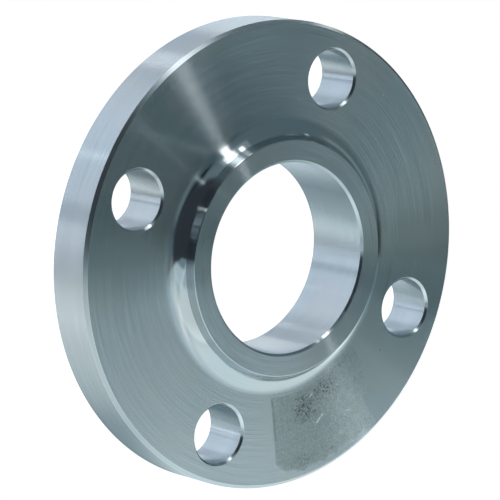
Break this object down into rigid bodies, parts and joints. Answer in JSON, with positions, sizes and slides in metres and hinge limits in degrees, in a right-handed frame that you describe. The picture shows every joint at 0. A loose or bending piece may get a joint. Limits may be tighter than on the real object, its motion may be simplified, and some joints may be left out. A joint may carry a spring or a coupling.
{
  "type": "slip-on flange",
  "caption": "Round steel pipe flange with a low tapered hub, a straight bore that slips over the pipe, a ring of bolt holes and a shallow raised sealing face.",
  "frame": {"origin": "centre of the raised sealing face, on the bore axis", "axes": "+Z along the bore axis, from the sealing face towards the hub; the bolt holes straddle the X and Y axes at 45 degrees"},
  "size_m": [0.1524, 0.1524, 0.0254],
  "materials": {
    "steel": "fine-turned stainless steel, satin, with faint concentric tool marks and a duller rubbed patch on the hub side"
  },
  "bodies": {
    "root": {"flange": "steel"}
  },
  "joints": []
}
